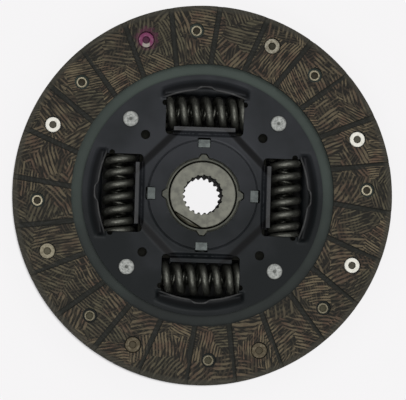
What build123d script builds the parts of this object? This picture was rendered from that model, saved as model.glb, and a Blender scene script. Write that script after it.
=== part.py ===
"""A clutch disc for a small car, modelled in millimetres.

The axis is Z and the origin is the centre of the hub's rear end face, on which the disc lies. The
flywheel side looks up. Angles are counter-clockwise from +X, seen from the flywheel side.

A splined hub carries a flange with four windows. Two pressed plates clamp a waved cushion disc and
are held together by four stop pins, which pass through notches in the hub flange. Four pairs of
nested coil springs sit in the windows of both plates and of the flange, so the plates can turn on
the hub by the travel of the pins in their notches. The two facings are riveted, each with rivets of
its own, to the paddles of the cushion disc.
"""

import os
from math import asin, atan, cos, degrees, pi, radians, sin, sqrt, tan

from build123d import *

# Circles are drawn with straight sides, few on what is small, repeated or hidden
facing_sides = 72
plate_sides = 48
hub_sides = 32
ring_sides = 20
head_sides = 8
shank_sides = 6

# Damper: plates, windows and springs
damper_angle = -1.65  # direction of the first window
window_count = 4
plate_sheet = 2.0
spring_circle_radius = 43.8
spring_length = 41.0
spring_end_play = 0.1
window_inner_distance = 36.6  # from the disc's axis to the lip's straight edge
window_outer_radius = 55.8
window_bump_width = 10.0
window_bump_rise = 1.5
window_notch_diameter = 4.5
window_ear_diameter = 3.6
window_ear_offset = 1.4  # outward from the window's corner
rear_window_outer_distance = spring_circle_radius + 8.8  # straight outer edge in the rear plate
lip_run = 3.2
lip_rise = 1.85
hood_rise = 2.6
hood_top_inner_radius = window_outer_radius - 2.2
hood_top_outer_radius = window_outer_radius + 1.6
hood_top_width = spring_length + 1.8
hood_foot_radius = hood_top_outer_radius + 4.4
hood_end_run = 3.2
hood_facet_angle = 14.0  # the hood's outer slope is bent in three flats
plate_diameter = 2 * (hood_foot_radius + 1.7)
pilot_hole_diameter = 5.0
pilot_hole_circle_radius = 43.8

# Facings
facing_outer_diameter = 200.0
facing_inner_diameter = plate_diameter + 11.6
facing_thickness = 3.35
facing_gap = 1.5  # between the two facings while the cushion disc is not squeezed
groove_count = 24
groove_width = 3.0
groove_depth = 1.2
groove_offset = 7.5  # distance of each groove's straight line from the disc's axis
groove_angle = 80.3  # direction of the first groove

# Facing rivets: tubular, with a head in one facing and a rolled tail behind the paddle
rivet_circle_diameter = facing_outer_diameter - 26.0
rivet_pair_angle = 11.0  # middle of the first pair, which shares a paddle
rivet_pair_spread = 18.0  # angle between the two rivets of a pair
rivet_head_diameter = 8.2
rivet_head_thickness = 0.8
rivet_shank_diameter = 4.4
rivet_tail_diameter = 5.6
rivet_tail_thickness = 0.7
rivet_hole_clearance = 0.15
rivet_seat_thickness = 1.3  # facing left under a rivet's head
counterbore_diameter = 9.0
tail_clearance_diameter = 7.8

# Cushion disc
cushion_sheet = 0.7
cushion_ring_inner_diameter = plate_diameter - 9.4
cushion_ring_outer_diameter = facing_inner_diameter + 2.4
cushion_ear_diameter = 13.0
paddle_count = 8
paddle_inner_diameter = cushion_ring_outer_diameter + 6.0
paddle_outer_diameter = facing_outer_diameter - 3.0
paddle_angle = 39.5
paddle_neck_width = 13.0
wave_flat_width = 10.0  # across the neck, where a paddle is level with the ring
wave_ramp_length = 4.0

# Raised octagonal centre of the front plate
octagon_top_across_windows = 63.2
octagon_top_across_corners = 63.6
octagon_foot_across_windows = 66.8
octagon_foot_across_corners = 72.0
octagon_rise = 1.6
boss_diameter = 57.0
boss_rise = 0.5

# Outer springs are right-handed, and the inner ones left-handed so that their coils cannot catch
outer_spring_diameter = 18.0
outer_spring_wire = 4.0
outer_spring_turns = 5  # between the closed end coils
outer_spring_sides = 4
outer_spring_steps = 5  # straight runs in one turn
inner_spring_diameter = 8.0
inner_spring_wire = 1.8
inner_spring_turns = 8
inner_spring_sides = 3
inner_spring_steps = 4
end_coil_opening = 0.15  # between an end coil and the next, as a share of the wire
ground_share = 0.7  # of the wire, ground away at the tips of a spring

# Stop pins
pin_circle_radius = 55.2
pin_body_diameter = 6.8
pin_shank_diameter = 5.0
pin_head_diameter = 8.2
pin_head_height = 1.2
pin_hole_clearance = 0.1
pin_stop_clearance = 0.05
hub_travel = 8.0  # the hub turns this many degrees each way before the pins stop it

# Hub
hub_length = 24.0
mid_plane_height = 19.0  # of the facings, above the hub's rear end face
hub_front_diameter = 35.6
hub_rear_diameter = 34.0
hub_rear_chamfer = 1.0
flange_diameter = 2 * (window_outer_radius + 4.2)
flange_thickness = 5.0
flange_window_inner_distance = 33.9
flange_window_outer_radius = window_outer_radius + 1.5
flange_notch_floor_radius = 51.2
flat_distance = 14.8  # of the marking flat from the axis
flat_depth = 1.8
flat_angle = 238.0
spline_teeth = 20
spline_minor_diameter = 19.0
spline_major_diameter = 21.4
spline_space_width = 1.6  # halfway up the teeth
spline_flank_angle = 30.0
spline_angle = 86.5

# Friction stack between the hub flange and the plates
bush_running_clearance = 0.08
bush_outer_diameter = 39.0
bush_shoulder_diameter = 41.0
bush_end_clearance = 0.2
bush_nub_root = 0.5  # depth of a nub's foot inside the bush's outer diameter
bush_nub_reach = 21.4
bush_nub_half_width = 3.05
bush_nub_tip_half_width = 0.6
bush_seat_clearance = 0.35
ring_clearance = 0.3
friction_ring_diameter = 58.0
thrust_plate_margin = 0.5
rear_plate_bore_diameter = 36.0
front_friction_ring_thickness = 1.2
rear_friction_ring_thickness = 1.5
thrust_plate_thickness = 1.2
cone_spring_outer_diameter = 49.2
cone_spring_thickness = 0.6
cone_spring_height = 1.6
lug_length = 4.0
lug_width = 6.1
lug_centre_radius = 27.1
lug_ridge = 0.35
lug_proud = 0.2  # above the front plate's raised centre
lug_hole_clearance = 0.4
lug_hole_outward = 0.9

# Heights above the hub's rear end face, and radii, that follow from the sizes above
facing_outer_radius = facing_outer_diameter / 2
facing_inner_radius = facing_inner_diameter / 2
front_facing_back = mid_plane_height + facing_gap / 2
front_plate_underside = mid_plane_height + cushion_sheet / 2
front_plate_face = front_plate_underside + plate_sheet
front_centre_underside = front_plate_underside + octagon_rise
front_centre_face = front_centre_underside + plate_sheet + boss_rise
thrust_plate_top = front_centre_underside - cone_spring_height
thrust_plate_bottom = thrust_plate_top - thrust_plate_thickness
flange_front = thrust_plate_bottom - front_friction_ring_thickness
flange_rear = flange_front - flange_thickness
rear_plate_inside = flange_rear - rear_friction_ring_thickness
rear_plate_face = rear_plate_inside - plate_sheet
spring_height = (flange_front + flange_rear) / 2
window_width = spring_length + 2 * spring_end_play
rivet_hole_radius = rivet_shank_diameter / 2 + rivet_hole_clearance
front_rivet_angle = rivet_pair_angle + rivet_pair_spread / 2
rear_rivet_angle = rivet_pair_angle - rivet_pair_spread / 2
rivet_circle_radius = rivet_circle_diameter / 2
paddle_crest = (facing_gap - cushion_sheet) / 2
pin_angle = damper_angle + 180 / window_count
hub_front_radius = hub_front_diameter / 2
hub_rear_radius = hub_rear_diameter / 2
ring_inner_radius = bush_shoulder_diameter / 2 + ring_clearance
everywhere = 2 * facing_outer_diameter


def sheet_between(outside, sheet):
    """The pressed sheet under an outer surface, as thick everywhere when measured along Z."""
    with BuildPart() as pressing:
        add(outside)
        add(outside.moved(Location((0, 0, -sheet))), mode=Mode.SUBTRACT)
    return pressing.part


def frustum(foot_width, top_width, height, turn):
    """A square frustum that stands on the XY plane, turned about Z."""
    with BuildPart() as block:
        with BuildSketch():
            Rectangle(foot_width, foot_width, rotation=turn)
        extrude(amount=height, taper=degrees(atan((foot_width - top_width) / 2 / height)))
    return block.part


def nub_outlines(clearance):
    """Adds the bush's four nubs, from the axis out, grown by a clearance."""
    foot = bush_outer_diameter / 2 - bush_nub_root
    foot_half_width = bush_nub_half_width + clearance
    tip = bush_nub_reach + clearance
    tip_half_width = bush_nub_tip_half_width + clearance
    with PolarLocations(0, window_count):
        Polygon(
            (0, -foot_half_width),
            (foot, -foot_half_width),
            (tip, -tip_half_width),
            (tip, tip_half_width),
            (foot, foot_half_width),
            (0, foot_half_width),
            align=None,
        )


def coil_spring(diameter, wire, turns, sides, steps, left_handed=False):
    """A spring along Y with closed and ground ends, its first end coil a half turn shorter."""
    radius = (diameter - wire) / 2
    closed_pitch = wire * (1 + end_coil_opening)
    reach = spring_length / 2 + (ground_share - 0.5) * wire
    pitch = (2 * reach - 2 * closed_pitch) / turns
    hand = 1 if left_handed else -1
    points = []
    for step in range(steps * (turns + 2) + 1):
        turned = step / steps
        opened = min(max(turned - 0.75, 0), turns)
        along = -reach + closed_pitch * (turned - opened) + pitch * opened
        angle = 2 * pi * turned - pi
        points.append((radius * cos(angle), hand * along, radius * sin(angle)))
    with BuildPart() as spring:
        with BuildLine() as path:
            Polyline(*points)
        with BuildSketch(Plane(origin=path.line @ 0, z_dir=path.line % 0)):
            RegularPolygon(wire / 2, sides)
        sweep(path=path.line, transition=Transition.RIGHT)
        Box(2 * diameter, spring_length, 2 * diameter, mode=Mode.INTERSECT)
    return spring.part


os.makedirs("parts", exist_ok=True)

# ---- Facings: two of one part number, the rear one turned over about a paddle's middle line ----

turn_over = Axis(
    (0, 0, mid_plane_height), (cos(radians(rivet_pair_angle)), sin(radians(rivet_pair_angle)), 0)
)

with BuildPart() as front_facing:
    with BuildSketch(Plane.XY.offset(front_facing_back)):
        RegularPolygon(facing_outer_radius, facing_sides)
        RegularPolygon(facing_inner_radius, facing_sides, mode=Mode.SUBTRACT)
        with PolarLocations(rivet_circle_radius, paddle_count, start_angle=front_rivet_angle):
            RegularPolygon(rivet_hole_radius, shank_sides, mode=Mode.SUBTRACT)
        with PolarLocations(rivet_circle_radius, paddle_count, start_angle=rear_rivet_angle):
            RegularPolygon(tail_clearance_diameter / 2, head_sides, mode=Mode.SUBTRACT)
    extrude(amount=facing_thickness)
    with BuildSketch(Plane.XY.offset(front_facing_back + rivet_seat_thickness)):
        with PolarLocations(rivet_circle_radius, paddle_count, start_angle=front_rivet_angle):
            RegularPolygon(counterbore_diameter / 2, head_sides)
    extrude(amount=facing_thickness, mode=Mode.SUBTRACT)
    with BuildSketch(Plane.XY.offset(front_facing_back + facing_thickness - groove_depth)):
        with PolarLocations(0, groove_count, start_angle=groove_angle):
            with Locations((facing_outer_radius, groove_offset)):
                Rectangle(facing_outer_diameter - facing_inner_diameter + groove_width, groove_width)
    extrude(amount=facing_thickness, mode=Mode.SUBTRACT)
front_facing.part.label = "front_facing"
export_step(front_facing.part, "parts/front_facing.step")

with BuildPart() as rear_facing:
    add(front_facing.part.rotate(turn_over, 180))
rear_facing.part.label = "rear_facing"
export_step(rear_facing.part, "parts/rear_facing.step")

# ---- Facing rivets ----

rivet_seat = front_facing_back + rivet_seat_thickness
paddle_back_at_rivet = front_facing_back - cushion_sheet

with BuildPart() as front_facing_rivets:
    rivet_tail = paddle_back_at_rivet - rivet_tail_thickness
    for diameter, sides, bottom, top in (
        (rivet_tail_diameter, shank_sides, rivet_tail, paddle_back_at_rivet),
        (rivet_shank_diameter, shank_sides, paddle_back_at_rivet, rivet_seat),
        (rivet_head_diameter, head_sides, rivet_seat, rivet_seat + rivet_head_thickness),
    ):
        with BuildSketch(Plane.XY.offset(bottom)):
            with PolarLocations(rivet_circle_radius, paddle_count, start_angle=front_rivet_angle):
                RegularPolygon(diameter / 2, sides)
        extrude(amount=top - bottom)
front_facing_rivets.part.label = "front_facing_rivets"
export_step(front_facing_rivets.part, "parts/front_facing_rivets.step")

with BuildPart() as rear_facing_rivets:
    add(front_facing_rivets.part.rotate(turn_over, 180))
rear_facing_rivets.part.label = "rear_facing_rivets"
export_step(rear_facing_rivets.part, "parts/rear_facing_rivets.step")

# ---- Cushion disc: one sheet, a flat ring with ears for the pins and eight waved paddles ----

ramp_start = wave_flat_width / 2
ramp_end = ramp_start + wave_ramp_length
wave = [(-everywhere, -paddle_crest), (-ramp_end, -paddle_crest), (-ramp_start, 0)]
wave += [(ramp_start, 0), (ramp_end, paddle_crest), (everywhere, paddle_crest)]

with BuildPart() as paddle:
    with BuildSketch(Plane(origin=(0, 0, mid_plane_height), x_dir=(0, 1, 0), z_dir=(1, 0, 0))):
        underside = [(across, up - cushion_sheet / 2) for across, up in wave]
        topside = [(across, up + cushion_sheet / 2) for across, up in reversed(wave)]
        Polygon(*underside, *topside, align=None)
    extrude(amount=facing_outer_radius)
    with BuildSketch(Plane.XY.offset(front_plate_underside - facing_gap)):
        outer_edge = [
            (paddle_outer_diameter / 2 * cos(radians(turn)), paddle_outer_diameter / 2 * sin(radians(turn)))
            for turn in (-paddle_angle / 2, 0, paddle_angle / 2)
        ]
        inner_edge = [
            (paddle_inner_diameter / 2 * cos(radians(turn)), paddle_inner_diameter / 2 * sin(radians(turn)))
            for turn in (paddle_angle / 2, -paddle_angle / 2)
        ]
        Polygon(*outer_edge, *inner_edge, align=None)
        Rectangle(
            paddle_inner_diameter / 2 + paddle_neck_width,
            paddle_neck_width,
            align=(Align.MIN, Align.CENTER),
        )
        RegularPolygon(cushion_ring_outer_diameter / 2, ring_sides, mode=Mode.SUBTRACT)
    extrude(amount=2 * facing_gap, mode=Mode.INTERSECT)

with BuildPart() as cushion_disc:
    with BuildSketch(Plane.XY.offset(mid_plane_height - cushion_sheet / 2)):
        RegularPolygon(cushion_ring_outer_diameter / 2, ring_sides)
        RegularPolygon(cushion_ring_inner_diameter / 2, ring_sides, mode=Mode.SUBTRACT)
        with PolarLocations(pin_circle_radius, window_count, start_angle=pin_angle):
            RegularPolygon(cushion_ear_diameter / 2, shank_sides)
    extrude(amount=cushion_sheet)
    with PolarLocations(0, paddle_count, start_angle=rivet_pair_angle):
        add(paddle.part)
    with BuildSketch():
        with PolarLocations(pin_circle_radius, window_count, start_angle=pin_angle):
            RegularPolygon(pin_shank_diameter / 2 + pin_hole_clearance, shank_sides)
        for angle in (front_rivet_angle, rear_rivet_angle):
            with PolarLocations(rivet_circle_radius, paddle_count, start_angle=angle):
                RegularPolygon(rivet_hole_radius, shank_sides)
    extrude(amount=everywhere, mode=Mode.SUBTRACT)
cushion_disc.part.label = "cushion_disc"
export_step(cushion_disc.part, "parts/cushion_disc.step")

# ---- Pressed plates ----

window_corner = sqrt(window_outer_radius**2 - (window_width / 2) ** 2)
window_bump_corner = sqrt(window_outer_radius**2 - (window_bump_width / 2) ** 2)

with BuildSketch() as window:
    window_side = [
        (window_inner_distance, window_width / 2),
        (window_corner, window_width / 2),
        (window_bump_corner, window_bump_width / 2),
        (window_outer_radius + window_bump_rise, window_bump_width / 4),
    ]
    Polygon(*window_side, *[(out, -across) for out, across in reversed(window_side)], align=None)
    for side in (-1, 1):
        with Locations((window_corner + window_ear_offset, side * window_width / 2)):
            RegularPolygon(window_ear_diameter / 2, shank_sides)
        with Locations((window_inner_distance, side * (window_width - window_notch_diameter) / 2)):
            RegularPolygon(window_notch_diameter / 2, shank_sides)

with BuildSketch() as rear_window:
    with Locations(((window_inner_distance + rear_window_outer_distance) / 2, 0)):
        Rectangle(rear_window_outer_distance - window_inner_distance, window_width)
    for side in (-1, 1):
        with Locations((window_inner_distance, side * (window_width - window_notch_diameter) / 2)):
            RegularPolygon(window_notch_diameter / 2, shank_sides)

with BuildPart() as lip:
    lip_start = window_inner_distance - lip_run
    lip_end = window_inner_distance + lip_run / 2
    with BuildSketch(Plane.XZ):
        Polygon(
            (lip_start, -plate_sheet),
            (lip_end, -plate_sheet),
            (lip_end, lip_rise * (lip_end - lip_start) / lip_run),
            (lip_start, 0),
            align=None,
        )
    extrude(amount=(window_width - 2 * window_notch_diameter) / 2, both=True)

with BuildPart() as hood:
    with BuildSketch(Plane.YZ):
        foot_half_width = hood_top_width / 2 + hood_end_run
        Polygon(
            (-foot_half_width, -plate_sheet),
            (foot_half_width, -plate_sheet),
            (foot_half_width, 0),
            (hood_top_width / 2, hood_rise),
            (-hood_top_width / 2, hood_rise),
            (-foot_half_width, 0),
            align=None,
        )
    extrude(amount=facing_outer_radius)
    for turn in (-hood_facet_angle, 0, hood_facet_angle):
        with BuildSketch(Plane.XZ.rotated((0, 0, turn)).offset(-facing_outer_radius)):
            Polygon(
                (hood_top_inner_radius - everywhere, -plate_sheet),
                (hood_foot_radius, -plate_sheet),
                (hood_foot_radius, 0),
                (hood_top_outer_radius, hood_rise),
                (hood_top_inner_radius - everywhere, hood_rise),
                align=None,
            )
        extrude(amount=facing_outer_diameter, mode=Mode.INTERSECT)
    with BuildSketch(Plane.XZ.offset(-facing_outer_radius)):
        Polygon(
            (hood_top_inner_radius - hood_end_run, -plate_sheet),
            (everywhere, -plate_sheet),
            (everywhere, hood_rise),
            (hood_top_inner_radius, hood_rise),
            (hood_top_inner_radius - hood_end_run, 0),
            align=None,
        )
    extrude(amount=facing_outer_diameter, mode=Mode.INTERSECT)

with BuildPart() as rear_outside:
    with BuildSketch(Plane.XY.offset(-plate_sheet)):
        RegularPolygon(plate_diameter / 2, plate_sides)
    extrude(amount=plate_sheet)
    with PolarLocations(0, window_count):
        add(lip.part)
        add(hood.part)

with BuildPart() as octagon:
    add(frustum(octagon_foot_across_windows, octagon_top_across_windows, octagon_rise, 0))
    add(
        frustum(octagon_foot_across_corners, octagon_top_across_corners, octagon_rise, 45),
        mode=Mode.INTERSECT,
    )

with BuildPart() as front_outside:
    add(rear_outside.part)
    add(octagon.part)

with BuildSketch() as plate_holes:
    with PolarLocations(pin_circle_radius, window_count, start_angle=180 / window_count):
        RegularPolygon(pin_shank_diameter / 2 + pin_hole_clearance, shank_sides)
    with PolarLocations(pilot_hole_circle_radius, window_count, start_angle=180 / window_count):
        RegularPolygon(pilot_hole_diameter / 2, head_sides)

with BuildPart() as front_plate:
    with Locations(Location((0, 0, front_plate_face), (0, 0, damper_angle))):
        add(sheet_between(front_outside.part, plate_sheet))
    with BuildSketch(Plane.XY.offset(front_centre_underside + plate_sheet)):
        RegularPolygon(boss_diameter / 2, hub_sides)
    extrude(amount=boss_rise)
    with BuildSketch(Plane.XY.rotated((0, 0, damper_angle))):
        add(plate_holes.sketch)
        with PolarLocations(0, window_count):
            add(window.sketch)
        RegularPolygon(bush_outer_diameter / 2 + bush_seat_clearance, hub_sides)
        nub_outlines(bush_seat_clearance)
        with PolarLocations(lug_centre_radius + lug_hole_outward / 2, window_count):
            Rectangle(
                lug_length + lug_hole_outward + lug_hole_clearance,
                lug_width + 2 * lug_hole_clearance,
            )
    extrude(amount=everywhere, mode=Mode.SUBTRACT)
front_plate.part.label = "front_plate"
export_step(front_plate.part, "parts/front_plate.step")

with BuildPart() as rear_plate:
    turned_over = Location((0, 0, rear_plate_face), (0, 0, damper_angle)) * Location((0, 0, 0), (180, 0, 0))
    with Locations(turned_over):
        add(sheet_between(rear_outside.part, plate_sheet))
    with BuildSketch(Plane.XY.rotated((0, 0, damper_angle))):
        add(plate_holes.sketch)
        with PolarLocations(0, window_count):
            add(rear_window.sketch)
        RegularPolygon(rear_plate_bore_diameter / 2, hub_sides, major_radius=False)
    extrude(amount=everywhere, mode=Mode.SUBTRACT)
rear_plate.part.label = "rear_plate"
export_step(rear_plate.part, "parts/rear_plate.step")

# ---- Stop pins: shouldered rivets that space the plates apart and stop the hub's turn ----

with BuildPart() as stop_pins:
    pin_shoulder = front_plate_underside - cushion_sheet
    for diameter, sides, bottom, top in (
        (pin_head_diameter, head_sides, rear_plate_face - pin_head_height, rear_plate_face),
        (pin_shank_diameter, shank_sides, rear_plate_face, rear_plate_inside),
        (pin_body_diameter, head_sides, rear_plate_inside, pin_shoulder),
        (pin_shank_diameter, shank_sides, pin_shoulder, front_plate_face),
        (pin_head_diameter, head_sides, front_plate_face, front_plate_face + pin_head_height),
    ):
        with BuildSketch(Plane.XY.offset(bottom)):
            with PolarLocations(pin_circle_radius, window_count, start_angle=pin_angle):
                RegularPolygon(diameter / 2, sides)
        extrude(amount=top - bottom)
stop_pins.part.label = "stop_pins"
export_step(stop_pins.part, "parts/stop_pins.step")

# ---- Hub ----

stop_angle = radians(hub_travel) + asin((pin_body_diameter / 2 + pin_stop_clearance) / pin_circle_radius)
spline_middle_radius = (spline_minor_diameter + spline_major_diameter) / 4


def space_half_width(radius):
    """Half the width of a spline's tooth space at a radius."""
    return spline_space_width / 2 + (spline_middle_radius - radius) * tan(radians(spline_flank_angle))


with BuildSketch() as flange_windows:
    flange_window_corner = sqrt(flange_window_outer_radius**2 - (window_width / 2) ** 2)
    Polygon(
        (flange_window_inner_distance, -window_width / 2),
        (flange_window_corner, -window_width / 2),
        (flange_window_outer_radius, -window_width / 6),
        (flange_window_outer_radius, window_width / 6),
        (flange_window_corner, window_width / 2),
        (flange_window_inner_distance, window_width / 2),
        align=None,
    )

with BuildSketch() as flange_notch:
    notch_reach = everywhere * tan(stop_angle)
    Polygon((0, 0), (everywhere, -notch_reach), (everywhere, notch_reach), align=None)
    Rectangle(2 * flange_notch_floor_radius, everywhere, mode=Mode.SUBTRACT)

with BuildPart() as hub:
    with BuildSketch():
        RegularPolygon(hub_rear_radius, hub_sides)
    extrude(amount=flange_rear)
    chamfer(hub.edges().group_by(Axis.Z)[0], hub_rear_chamfer)
    with BuildSketch(Plane.XY.offset(flange_rear)):
        RegularPolygon(flange_diameter / 2, plate_sides)
        with PolarLocations(0, window_count, start_angle=damper_angle):
            add(flange_windows.sketch, mode=Mode.SUBTRACT)
        with PolarLocations(0, window_count, start_angle=pin_angle):
            add(flange_notch.sketch, mode=Mode.SUBTRACT)
    extrude(amount=flange_thickness)
    with BuildSketch(Plane.XY.offset(flange_front)):
        RegularPolygon(hub_front_radius, hub_sides)
    extrude(amount=hub_length - flange_front)
    with BuildSketch(Plane.XY.offset(hub_length - flat_depth)):
        with PolarLocations(flat_distance, 1, start_angle=flat_angle):
            Rectangle(hub_front_radius, hub_front_diameter, align=(Align.MIN, Align.CENTER))
    extrude(amount=hub_length, mode=Mode.SUBTRACT)
    with BuildSketch():
        RegularPolygon(
            spline_minor_diameter / 2,
            spline_teeth,
            major_radius=False,
            rotation=spline_angle,
        )
        with PolarLocations(0, spline_teeth, start_angle=spline_angle):
            mouth = spline_middle_radius - (spline_major_diameter - spline_minor_diameter) / 2
            root = spline_major_diameter / 2
            Polygon(
                (mouth, -space_half_width(mouth)),
                (root, -space_half_width(root)),
                (root, space_half_width(root)),
                (mouth, space_half_width(mouth)),
                align=None,
            )
    extrude(amount=hub_length, mode=Mode.SUBTRACT)
hub.part.label = "hub"
export_step(hub.part, "parts/hub.step")

# ---- Bush, thrust plate and friction rings ----

with BuildPart() as centring_bush:
    with BuildSketch(Plane.XY.offset(flange_front + bush_end_clearance)):
        RegularPolygon(bush_shoulder_diameter / 2, hub_sides)
    extrude(amount=front_centre_underside - flange_front - bush_end_clearance)
    with BuildSketch(Plane.XY.offset(front_centre_underside).rotated((0, 0, damper_angle))):
        RegularPolygon(bush_outer_diameter / 2, hub_sides)
        nub_outlines(0)
    extrude(amount=front_centre_face - front_centre_underside - bush_end_clearance)
    with BuildSketch():
        RegularPolygon(hub_front_radius + bush_running_clearance, hub_sides, major_radius=False)
    extrude(amount=everywhere, mode=Mode.SUBTRACT)
centring_bush.part.label = "centring_bush"
export_step(centring_bush.part, "parts/centring_bush.step")

with BuildPart() as lug:
    lug_top = front_centre_face + lug_proud
    lug_inner = lug_centre_radius - lug_length / 2
    lug_outer = lug_centre_radius + lug_length / 2
    with BuildSketch(Plane.XZ):
        Polygon(
            (lug_inner, thrust_plate_bottom),
            (lug_outer, thrust_plate_bottom),
            (lug_outer, lug_top - lug_ridge),
            (lug_centre_radius, lug_top),
            (lug_inner, lug_top - lug_ridge),
            align=None,
        )
    extrude(amount=lug_width / 2, both=True)

with BuildPart() as thrust_plate:
    with BuildSketch(Plane.XY.offset(thrust_plate_bottom)):
        RegularPolygon(friction_ring_diameter / 2 + thrust_plate_margin, ring_sides)
        RegularPolygon(ring_inner_radius, ring_sides, mode=Mode.SUBTRACT)
    extrude(amount=thrust_plate_thickness)
    with PolarLocations(0, window_count, start_angle=damper_angle):
        add(lug.part)
thrust_plate.part.label = "thrust_plate"
export_step(thrust_plate.part, "parts/thrust_plate.step")

with BuildPart() as cone_outside:
    with BuildSketch(Plane.XY.offset(thrust_plate_top)):
        RegularPolygon(cone_spring_outer_diameter / 2, ring_sides)
    extrude(amount=cone_spring_thickness)
    with BuildSketch(Plane.XY.offset(thrust_plate_top + cone_spring_thickness)):
        RegularPolygon(cone_spring_outer_diameter / 2, ring_sides)
    cone_rise = front_centre_underside - thrust_plate_top - cone_spring_thickness
    cone_run = cone_spring_outer_diameter / 2 - ring_inner_radius
    extrude(amount=cone_rise, taper=degrees(atan(cone_run / cone_rise)))

with BuildPart() as cone_spring:
    add(sheet_between(cone_outside.part, cone_spring_thickness))
    with BuildSketch():
        RegularPolygon(ring_inner_radius, ring_sides)
    extrude(amount=everywhere, mode=Mode.SUBTRACT)
cone_spring.part.label = "cone_spring"
export_step(cone_spring.part, "parts/cone_spring.step")

with BuildPart() as front_friction_ring:
    with BuildSketch(Plane.XY.offset(flange_front)):
        RegularPolygon(friction_ring_diameter / 2, ring_sides)
        RegularPolygon(ring_inner_radius, ring_sides, mode=Mode.SUBTRACT)
    extrude(amount=front_friction_ring_thickness)
front_friction_ring.part.label = "front_friction_ring"
export_step(front_friction_ring.part, "parts/front_friction_ring.step")

with BuildPart() as rear_friction_ring:
    with BuildSketch(Plane.XY.offset(rear_plate_inside)):
        RegularPolygon(friction_ring_diameter / 2, ring_sides)
        RegularPolygon(hub_rear_radius + ring_clearance, ring_sides, major_radius=False, mode=Mode.SUBTRACT)
    extrude(amount=rear_friction_ring_thickness)
rear_friction_ring.part.label = "rear_friction_ring"
export_step(rear_friction_ring.part, "parts/rear_friction_ring.step")

# ---- Damper springs, the left and lower ones turned end for end ----

outer_coil = coil_spring(
    outer_spring_diameter,
    outer_spring_wire,
    outer_spring_turns,
    outer_spring_sides,
    outer_spring_steps,
)
inner_coil = coil_spring(
    inner_spring_diameter,
    inner_spring_wire,
    inner_spring_turns,
    inner_spring_sides,
    inner_spring_steps,
    left_handed=True,
)

for number in range(1, window_count + 1):
    window_turn = Location((0, 0, 0), (0, 0, damper_angle + (number - 1) * 360 / window_count))
    end_for_end = 180 if number > window_count / 2 else 0
    seat = window_turn * Location((spring_circle_radius, 0, spring_height), (0, 0, end_for_end))
    with BuildPart() as outer_spring:
        with Locations(seat):
            add(outer_coil)
    outer_spring.part.label = f"outer_spring_{number}"
    export_step(outer_spring.part, f"parts/outer_spring_{number}.step")
    with BuildPart() as inner_spring:
        with Locations(seat):
            add(inner_coil)
    inner_spring.part.label = f"inner_spring_{number}"
    export_step(inner_spring.part, f"parts/inner_spring_{number}.step")
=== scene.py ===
import math

import bmesh
import bpy
import numpy as np
from mathutils import Matrix, Vector


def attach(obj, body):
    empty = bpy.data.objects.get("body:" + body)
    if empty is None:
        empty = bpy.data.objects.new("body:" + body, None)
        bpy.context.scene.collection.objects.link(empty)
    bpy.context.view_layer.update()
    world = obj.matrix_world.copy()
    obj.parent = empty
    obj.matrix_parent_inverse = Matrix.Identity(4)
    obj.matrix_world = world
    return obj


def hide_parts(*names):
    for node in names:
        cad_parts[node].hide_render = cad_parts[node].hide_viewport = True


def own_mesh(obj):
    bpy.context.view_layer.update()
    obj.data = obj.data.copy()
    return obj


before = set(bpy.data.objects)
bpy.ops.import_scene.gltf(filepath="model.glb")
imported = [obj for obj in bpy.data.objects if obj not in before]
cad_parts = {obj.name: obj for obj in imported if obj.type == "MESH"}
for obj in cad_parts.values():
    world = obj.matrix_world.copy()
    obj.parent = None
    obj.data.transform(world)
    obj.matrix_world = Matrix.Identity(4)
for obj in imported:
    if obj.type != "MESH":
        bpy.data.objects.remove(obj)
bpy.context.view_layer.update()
mm = 0.001

def smoothClip(t, corner):
    # 0 below t = 0 and 1 above t = 1, a straight ramp between them with both corners rounded
    return (np.sqrt(t * t + corner**2) - np.sqrt((t - 1) ** 2 + corner**2) + 1) / 2


def newPiece(name, verts, faces, material=None, smooth=True):
    # an object at the origin from points in millimetres
    mesh = bpy.data.meshes.new(name)
    mesh.from_pydata((np.asarray(verts, float) * mm).tolist(), [], faces)
    mesh.update()
    mesh.polygons.foreach_set("use_smooth", [smooth] * len(mesh.polygons))
    piece = bpy.data.objects.new(name, mesh)
    bpy.context.scene.collection.objects.link(piece)
    if material:
        mesh.materials.append(material)
    return piece


def gridFaces(rows, columns, wrapRows=False, wrapColumns=False):
    # quads between neighbouring points of a rows x columns grid, numbered row by row
    i = np.arange(rows if wrapRows else rows - 1)[:, None]
    j = np.arange(columns if wrapColumns else columns - 1)[None, :]
    i2, j2 = (i + 1) % rows, (j + 1) % columns
    quads = np.stack([i * columns + j, i * columns + j2, i2 * columns + j2, i2 * columns + j], -1)
    return quads.reshape(-1, 4)


def ringFromSections(radii, heights, angles):
    # closed ring: point (row, column) stands at radius radii[row, column], height heights[row, column]
    # and angle angles[column]; rows run round the section anticlockwise, columns round the axis
    radii, heights = np.broadcast_arrays(radii, heights)
    points = np.stack([radii * np.cos(angles), radii * np.sin(angles), heights], -1)
    rows, columns = radii.shape
    return points.reshape(-1, 3), gridFaces(rows, columns, True, True)


def prism(outline, low, high):
    # a flat outline carried straight up from low to high
    n = len(outline)
    outline = np.asarray(outline, float)
    area = np.sum(outline[:, 0] * np.roll(outline[:, 1], -1) - np.roll(outline[:, 0], -1) * outline[:, 1])
    if area < 0:
        outline = outline[::-1]
    bottom = np.column_stack([outline, np.full(n, low)])
    top = np.column_stack([outline, np.full(n, high)])
    sides = [(i, (i + 1) % n, (i + 1) % n + n, i + n) for i in range(n)]
    return np.vstack([bottom, top]), [tuple(range(n - 1, -1, -1)), tuple(range(n, 2 * n))] + sides


def circle(radius, centre, steps):
    # points evenly round a circle, anticlockwise
    turn = np.linspace(0, 2 * np.pi, steps, endpoint=False)
    return np.column_stack([centre[0] + radius * np.cos(turn), centre[1] + radius * np.sin(turn)])


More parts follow.
